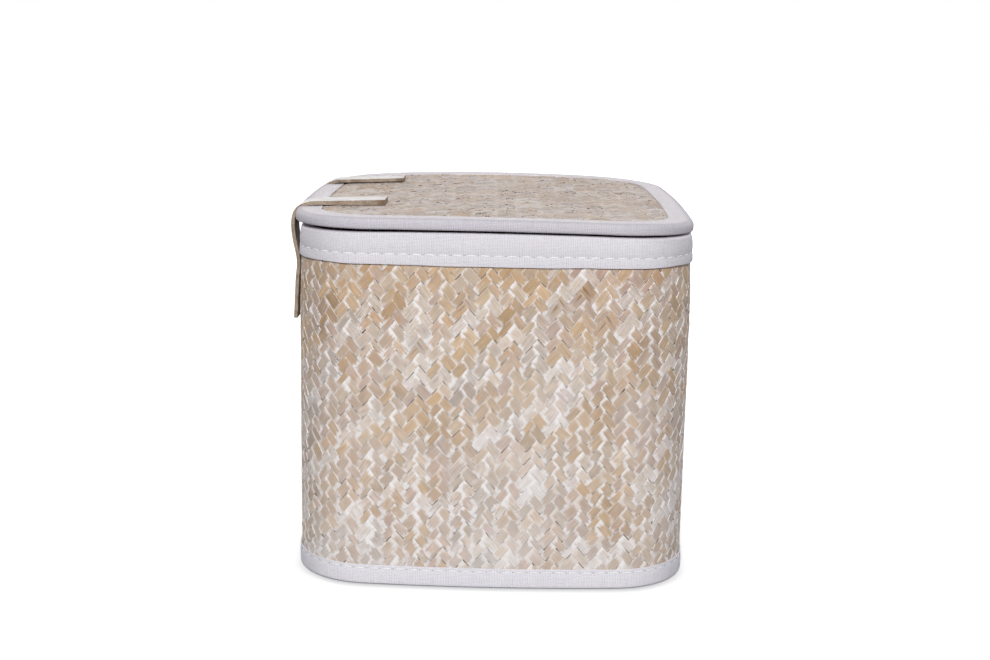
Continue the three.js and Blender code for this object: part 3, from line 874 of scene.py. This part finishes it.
def foot_stitch_outer(run, aside, lift):
    return *walk(wall_arcs, run, FOOT_OUTER - 0.12 + 0.6 * lift), FOOT_SEAM + aside


def foot_stitch_under(run, aside, lift):
    return *walk(wall_arcs, -run, UNDER_SEAM + aside), np.maximum(0.3 - lift, 0.05)


sew("foot", "outer", wall_arcs, foot_stitch_outer, 33, "basket")
sew("foot", "under", wall_arcs, foot_stitch_under, 34, "basket")


# Base: a mat below, a card, and a lining mat above, laid inside the foot of the wall. The flap of
# the foot tape pinches the lower mat, which sags from there to the floor. The card is the CAD one.
BASE_EDGE = -4.9
BASE_MAT_LOW, BASE_MAT_TOP = 1.25, 2.3
LINING_LOW, LINING_TOP = 4.9, 6.1
PLATE_PLAIT = (-9, 9), (-17, 17)
BASE_SAG, BASE_LOW = 0.85, 0.3  # how far the mat sags below the flap, and what is left
CROWDED, CROWDED_WITHIN = 1.6, 4.6
PLATE_STEPS, PLATE_RINGS = 128, (0.1, 0.25, 0.4, 0.55, 0.7, 0.8, 0.88, 0.94, 1.0)


def margin(arcs, x, y):
    """How far points lie inside the outline."""
    x = np.abs(x - arcs[2, 0])
    y = np.abs(y)
    to_sides = np.minimum(
        arcs[0, 2] - np.hypot(x - (arcs[0, 0] - arcs[2, 0]), y),
        arcs[2, 2] - np.hypot(x, y - arcs[2, 1]),
    )
    past_x, past_y = x - (arcs[1, 0] - arcs[2, 0]), y - arcs[1, 1]
    to_corner = arcs[1, 2] - np.hypot(past_x, past_y)
    return np.where((past_x > 0) & (past_y > 0), to_corner, to_sides)


def free_of(arcs, x, y, flap):
    """0 where a tape's flap lies on a mat, rising to 1 within 2 mm past the flap's inner edge."""
    return np.clip((margin(arcs, x, y) - flap) / 2, 0, 1)


def base_under(side, up, lift):
    pinched = BASE_SAG * (1 - free_of(wall_arcs, -side, up, FLAP + 0.4))
    return -side, up, np.maximum(BASE_LOW + pinched - lift, 0.02)


def base_over(side, up, lift):
    # the outermost strips are pressed together under the wall's foot
    short = np.maximum(CROWDED_WITHIN - margin(wall_arcs, side, up), 0)
    inward = short - CROWDED * (1 - np.exp(-short / CROWDED))
    kept = 1 - inward / np.maximum(np.hypot(side, up), 1)
    return side * kept, up * kept, LINING_TOP - 0.15 + lift


def flat_ply(name, arcs, out, under, over, settle):
    """A flat ply of the outline's shape. `under` and `over` give its heights at points x, y."""
    levels = [(size, under) for size in PLATE_RINGS]
    levels += [(size, over) for size in reversed(PLATE_RINGS)]
    made = bmesh.new()
    loops = stacked_circles(made, len(levels), PLATE_STEPS)
    for end in (loops[0], loops[-1]):
        bmesh.ops.contextual_create(made, geom=list(end))
    mesh = as_mesh(made, name)
    x, y = walk(arcs, np.arange(PLATE_STEPS) / PLATE_STEPS * outline_length(arcs), out)
    middle = arcs[2, 0]
    points = []
    for size, height in levels:
        at_x, at_y = middle + (x - middle) * size, y * size
        points.append(settle(at_x, at_y, height(at_x, at_y) * np.ones(PLATE_STEPS)))
    put_points(mesh, np.array(points).swapaxes(0, 1))
    return smooth_closed(mesh)


for family in FAMILIES:
    floats = plait(f"base_mat_strips_{family}", family, base_under, PLATE_PLAIT, 41, LEAF_HUES,
                   keep=lambda side, up: margin(wall_arcs, -side, up) > 9)
    finish_piece(floats, "basket", [limed_leaf, painted_shade_leaf], ["base_mat"])
mesh = flat_ply("base_mat_underlay", wall_arcs, BASE_EDGE,
                lambda x, y: BASE_MAT_LOW, lambda x, y: BASE_MAT_TOP, wall_settle)
finish_piece(mesh, "basket", [painted_shade_leaf], ["base_mat"])
for family in FAMILIES:
    floats = plait(f"base_lining_{family}", family, base_over, PLATE_PLAIT, 43, INNER_HUES,
                   keep=lambda side, up: margin(wall_arcs, side, up) > 1.5)
    finish_piece(floats, "basket", [plain_leaf, painted_shade_leaf], ["base_lining"])
mesh = flat_ply("base_lining_underlay", wall_arcs, BASE_EDGE,
                lambda x, y: LINING_LOW, lambda x, y: LINING_TOP - STRIP_BODY, wall_settle)
finish_piece(mesh, "basket", [painted_shade_leaf], ["base_lining"])


# Lid: a mat above and a lining mat below a card, a little larger than the rim and lying 1.6 mm
# towards the hinges. It is arched from hinge to opening side, and stands a little higher at the
# back. Its front corner on the opening side droops.
LID = dict(width=213, depth=245, corner=49, bow=2, shift=-1.6)
LID_UNDER, LID_TOP = 185.3, 191.0
LID_FLAP = 13.5
LID_PUFF, LID_PLY = 0.75, 1.15
LID_LEVEL, LID_TILT, LID_TWIST = 0.98, 0.0081, 0.0075
LID_ARCH, ARCH_GROWS = 2.2e-4, 3.3e-7  # for each square of the way from the middle
LID_DROOP, LID_ASKEW, LID_FLATTER = 1.1, 0.01, 0.7
BY_STRAP, DRAWN_UP = 58, (0.25, 0.45)  # near and far strap
LID_HUES = (
    "#c1ad9b", "#c6b2a1", "#beada0", "#c3b2a9", "#bcb1ab", "#c4b1a4", "#c7b6a5", "#b39e8d",
    "#ccbeb3",
)
lid_arcs = bowed_outline(**LID)
lid_middle, lid_half = (LID_UNDER + LID_TOP) / 2, (LID_TOP - LID_UNDER) / 2
lid_leaf = leaf_material("whitewashed lid strip", "#dfd8d6", 0.12, 0.12, -0.01, 0.62, 0.6)


def lid_rise(x, y):
    """How far the arched lid lies above a flat one."""
    drooped = LID_DROOP * np.clip((x - 68) / 37, 0, 1) ** 2 * np.clip((20 - y) / 100, 0, 1)
    tilted = LID_LEVEL + LID_TILT * y - LID_TWIST * x * (0.5 - y / WALL["depth"])
    return tilted - (LID_ARCH + ARCH_GROWS * y) * x ** 2 - drooped


def lid_settle(x, y, z):
    """The lid lies arched and a little askew, and its opening side is bowed less than others."""
    flatter = LID_FLATTER * np.clip((x - 60) / 45, 0, 1) * np.clip(1 - (y / 95) ** 2, 0, 1)
    return x - flatter - LID_ASKEW * y, y + LID_ASKEW * x, z + lid_rise(x, y)


def lid_over(side, up, lift):
    puffed = LID_PUFF * free_of(lid_arcs, side, up, LID_FLAP + 0.3)
    # the straps draw the mat up beside them
    beside = np.clip(1.5 - (np.abs(np.abs(up) - BY_STRAP) - 8) / 8, 0, 1)
    drawn_up = np.clip((-50 - side) / 8, 0, 1) * beside * np.where(up < 0, *DRAWN_UP)
    return lid_settle(side, up, LID_TOP - LID_PLY + puffed + drawn_up + lift)


def lid_below(side, up, lift):
    puffed = LID_PUFF * free_of(lid_arcs, -side, up, LID_FLAP + 0.3)
    return lid_settle(-side, up, LID_UNDER + LID_PLY - puffed - lift)


def ply_puff(x, y):
    """How far a ply under the strips is puffed, less than they are."""
    return 0.7 * free_of(lid_arcs, x, y, LID_FLAP)


for family in FAMILIES:
    floats = plait(f"lid_strips_{family}", family, lid_over, PLATE_PLAIT, 47, LID_HUES,
                   keep=lambda side, up: margin(lid_arcs, side, up) > 8.5, relief=1.5)
    finish_piece(floats, "lid", [lid_leaf, painted_shade_leaf], ["lid_mat"])
    floats = plait(f"lid_lining_{family}", family, lid_below, PLATE_PLAIT, 53, INNER_HUES,
                   keep=lambda side, up: margin(lid_arcs, -side, up) > 8.5)
    finish_piece(floats, "lid", [plain_leaf, painted_shade_leaf], ["lid_lining"])
mesh = flat_ply("lid_mat_underlay", lid_arcs, -lid_half, lambda x, y: lid_middle + 0.85,
                lambda x, y: LID_TOP - 1.85 + ply_puff(x, y), lid_settle)
finish_piece(mesh, "lid", [painted_shade_leaf], ["lid_mat"])
mesh = flat_ply("lid_lining_underlay", lid_arcs, -lid_half,
                lambda x, y: LID_UNDER + 1.85 - ply_puff(x, y),
                lambda x, y: lid_middle - 0.85, lid_settle)
finish_piece(mesh, "lid", [painted_shade_leaf], ["lid_lining"])
mesh = flat_ply("lid_card_core", lid_arcs, -1.2, lambda x, y: lid_middle - 0.55,
                lambda x, y: lid_middle + 0.55, lid_settle)
finish_piece(mesh, "lid", [card_board], ["lid_card"])


# Lid tape: the same tape folded round the lid's edge into a soft bead, with a flap on each face and
# a seam through both near their inner edges.
LID_SEAM = -11.0
LID_OUTS = (-13.2, -12.5, -11.9, -11.4, LID_SEAM, -10.6, -10, -9, -7.5, -6, -4.5)
BEAD_STEPS = 7
LID_FURROW, LID_RIPPLE = 0.2, 0.25

lid_section = (
    [(-LID_FLAP + 0.1, LID_UNDER + 0.2)]
    + [(out, LID_UNDER) for out in LID_OUTS]
    + arc_points(-lid_half, lid_middle, lid_half, -90, 0, BEAD_STEPS, 0.55)
    + arc_points(-lid_half, lid_middle, lid_half, 0, 90, BEAD_STEPS, 0.8)[1:]
    + [(out, LID_TOP) for out in reversed(LID_OUTS)]
    + [(-LID_FLAP + 0.1, LID_TOP - 0.2), (-LID_FLAP + 0.2, LID_TOP - TAPE)]
    + arc_points(-lid_half, lid_middle, lid_half - TAPE, 90, -90, BEAD_STEPS)
    + [(-LID_FLAP + 0.2, LID_UNDER + TAPE)]
)
lid_pitch = whole_pitch(lid_arcs)
bead_last = len(LID_OUTS) + 2 * BEAD_STEPS - 1
top_edge = bead_last + len(LID_OUTS) + 1


def lid_form(k, run, out, height):
    if k <= top_edge:
        away = np.sign(height - lid_middle)
        on_face = np.abs(height - lid_middle) > lid_half - 0.3
        drawn = furrow(run, out - LID_SEAM, lid_pitch, LID_FURROW) * on_face
        height = height - away * drawn + 0.06 * away * ripple(run, 4.0)
        if k in (0, top_edge):
            out = out + LID_RIPPLE * ripple(run, 6.0)
    return out, height


seam_point = 1 + LID_OUTS.index(LID_SEAM)
lid_seams = [seam_place(lid_section, k) for k in (seam_point, top_edge - seam_point)]
lid_turn = [seam_place(lid_section, k) for k in (len(LID_OUTS), bead_last)]
# the bead between the lid tape's flaps is greyed with painted shade
lid_cotton = cotton_material(
    "bleached cotton lid tape", lid_seams, lid_pitch, "#cfc9cf", "#f8f4f7", lid_turn)
mesh = swept_mesh("lid_binding", lid_arcs, lid_section, ROUND_STEPS, lid_settle, lid_form)
finish_piece(mesh, "lid", [lid_cotton], ["lid_tape"])


def lid_stitch_top(run, aside, lift):
    return lid_settle(*walk(lid_arcs, run, LID_SEAM - aside), LID_TOP - 0.28 + 0.6 * lift)


def lid_stitch_under(run, aside, lift):
    return lid_settle(*walk(lid_arcs, -run, LID_SEAM + aside), LID_UNDER + 0.28 - 0.6 * lift)


sew("lid", "top", lid_arcs, lid_stitch_top, 35, "lid")
sew("lid", "under", lid_arcs, lid_stitch_under, 36, "lid")


# Strap hinges: two straps of thick split leather, limed on the face like the mat, with raw tan cut
# edges. Each lies on the lid, wraps its edge, bends just below it and runs down the wall. The near
# one's hide is thicker at the lid end.
STRAP, STRAP_WIDTH = 2.0, 17.8
STRAPS = {"near": -57.6, "far": 58.4}
STRAP_THICKER, THICKER_RUN = {"near": 0.95, "far": 0.1}, 45
STRAP_TIP = {"near": -59.3, "far": -57.9}
STRAP_OFF = {"near": 0.0, "far": 0.15}
STRAP_WIDTHS = (0.35, 1.5, 3.2, 3.85, 3.85, 3.2, 1.5, 0.35)
EDGE_IN, EDGE_OUT = 0.16, -0.1  # how far the cut edges of the face and of the back are rubbed down
WRAPPED = ((-103.4, 191.3), (-105.9, 189.9), (-107.9, 187.4), (-108.9, 184.6), (-109.3, 182),
           (-109.3, 179))
ON_WALL = ((-109.0, 174.9), (-108.4, 171.2), (-107.3, 166.3), (-106.3, 161.0), (-106.4, 157.5),
           (-106.9, 153.5), (-107.3, 148), (-107.6, 141), (-107.9, 135), (-108.2, 129.6))


def leather_material(name, low_hue, high_hue, roughness, layers, tip_shade):
    """Split cowhide: a napped, fibrous surface. Across a cut edge its layers show as streaks that
    run with the strap, which the map's first coordinate follows in millimetres."""
    finish, add = new_material(name)
    hide_at = add("UVMap", uv_map="hide")
    place = add("TexCoord").outputs["Object"]
    pores = add("TexNoise", place, 1100.0, 4.0, 0.6)
    patches = add("TexNoise", place, 150.0, 3.0)
    # fibre layers 0.5 mm thick, coarser than the real 0.1 mm so that they show
    fibres_at = add("Mapping", named={"Vector": hide_at, "Scale": (0.25, 2.2, 1.0)})
    fibres = add("TexNoise", fibres_at, 1.0, 3.0, 0.65)
    nap = add("Math ADD", pores, patches)
    nap = add("Math MULTIPLY_ADD", fibres, layers, nap)
    nap = add("MapRange", nap, 0.78 + 0.35 * layers, 1.22 + 0.65 * layers)
    tint = add("Mix RGBA", nap, low_hue, high_hue)
    # painted shade: the last 5 mm, where it was cut off, are darkened as the shadow of the cut end
    along = add("SeparateXYZ", hide_at).outputs["X"]
    tip = add("MapRange", along, 1.5, 5.0, tip_shade, 0.0)
    tint = add("Mix RGBA", tip, tint, "#6b523a")
    relief = add("Bump", named={"Height": nap, "Strength": 0.6, "Distance": 0.15 * MM})
    shader = add("BsdfPrincipled", named={
        "Base Color": tint, "Roughness": roughness, "Normal": relief,
    })
    add("OutputMaterial", shader)
    return finish


limed_leather = leather_material("limed split leather", "#d9d4d2", "#faf7f7", 0.75, 0.2, 0.15)
cut_leather = leather_material("raw cut leather edge", "#6f5d4b", "#bcab99", 0.85, 1.5, 0.8)
flesh_leather = leather_material("raw leather flesh side", "#8a7b6e", "#b3a699", 0.9, 0.5, 0.3)


def strap_face(which):
    """The outer face of a strap as a line, from its end on the lid to its end on the wall."""
    off = STRAP_OFF[which]
    on_lid = ((STRAP_TIP[which], 3.0), (-63.5, 2.95), (-70, 2.83), (-78, 2.7),
              (-86, 2.6 + 0.5 * off), (-91, 2.6 + off), (-95, 2.6 + off), (-99, 2.6 + off))
    on_lid = [(x, LID_TOP + up + float(lid_rise(x, STRAPS[which]))) for x, up in on_lid]
    return [Vector((x, 0, z)) for x, z in (*on_lid, *WRAPPED, *ON_WALL)]


def rounded_line(line, rounds=2):
    """Cuts the corners of a line of points until it runs smoothly."""
    for _ in range(rounds):
        pairs = zip(line, line[1:])
        between = [before.lerp(after, share) for before, after in pairs for share in (0.25, 0.75)]
        line = [line[0]] + between + [line[-1]]
    return line


def from_side(point):
    """A point of a strap as it is seen along the hinge."""
    return round(point.x, 3), round(point.z, 3)


for which, middle in STRAPS.items():
    outer = rounded_line(strap_face(which))
    way = [0.0]
    for before, after in zip(outer, outer[1:]):
        way.append(way[-1] + (after - before).length)
    inner = []
    for k, point in enumerate(outer):
        run = outer[min(k + 1, len(outer) - 1)] - outer[max(k - 1, 0)]
        thick = STRAP + STRAP_THICKER[which] * max(0.0, 1 - way[k] / THICKER_RUN)
        inner.append(point + Vector((-run.z, 0, run.x)).normalized() * thick)

    # its cut side as one face, drawn out across the width
    bm = bmesh.new()
    near_side = middle - STRAP_WIDTH / 2
    first = [bm.verts.new(point + Vector((0, near_side, 0))) for point in outer + inner[::-1]]
    round_it = [bm.edges.new(pair) for pair in zip(first, first[1:] + first[:1])]
    side = bmesh.ops.contextual_create(bm, geom=round_it)["faces"]
    for step in STRAP_WIDTHS:
        at_first = side[0].verts[0].co.y < near_side + 1e-4
        grown = bmesh.ops.extrude_face_region(bm, geom=side, use_keep_orig=at_first)["geom"]
        side = [part for part in grown if isinstance(part, bmesh.types.BMFace)]
        moved = [part for part in grown if isinstance(part, bmesh.types.BMVert)]
        bmesh.ops.translate(bm, verts=moved, vec=(0, step, 0))
    bmesh.ops.recalc_face_normals(bm, faces=bm.faces)

    # the map: along the strap, and across it or, on the cut edges, through the hide
    hide = bm.loops.layers.uv.new("hide")
    spots = {from_side(point): (k, 0.0) for k, point in enumerate(outer)}
    spots.update({from_side(point): (k, STRAP) for k, point in enumerate(inner)})
    for face in bm.faces:
        cut_side = len(face.verts) > 4
        depths = set()
        for loop in face.loops:
            k, depth = spots[from_side(loop.vert.co)]
            depths.add(depth)
            through = cut_side or len(depths) > 1
            loop[hide].uv = (way[k], depth if through else loop.vert.co.y)
        face.smooth = not cut_side
        face.material_index = 1 if through else (2 if STRAP in depths else 0)
    # the cut edges are slightly rounded
    for vert in bm.verts:
        k, depth = spots[from_side(vert.co)]
        if abs(vert.co.y - middle) > 0.99 * STRAP_WIDTH / 2:
            through_hide = (inner[k] - outer[k]).normalized()
            vert.co += through_hide * (EDGE_IN if depth == 0 else EDGE_OUT)
    for edge in bm.edges:
        edge.smooth = edge.calc_face_angle(0.0) < math.radians(40)
    bmesh.ops.triangulate(bm, faces=[face for face in bm.faces if len(face.verts) > 4])
    bmesh.ops.scale(bm, verts=bm.verts, vec=(MM, MM, MM))
    nodes = [f"{which}_strap_{part}" for part in ("lid_end", "bend", "wall_end")]
    strap = finish_piece(as_mesh(bm, f"{which}_strap"), None,
                         [limed_leather, cut_leather, flesh_leather], nodes)
    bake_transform(strap)
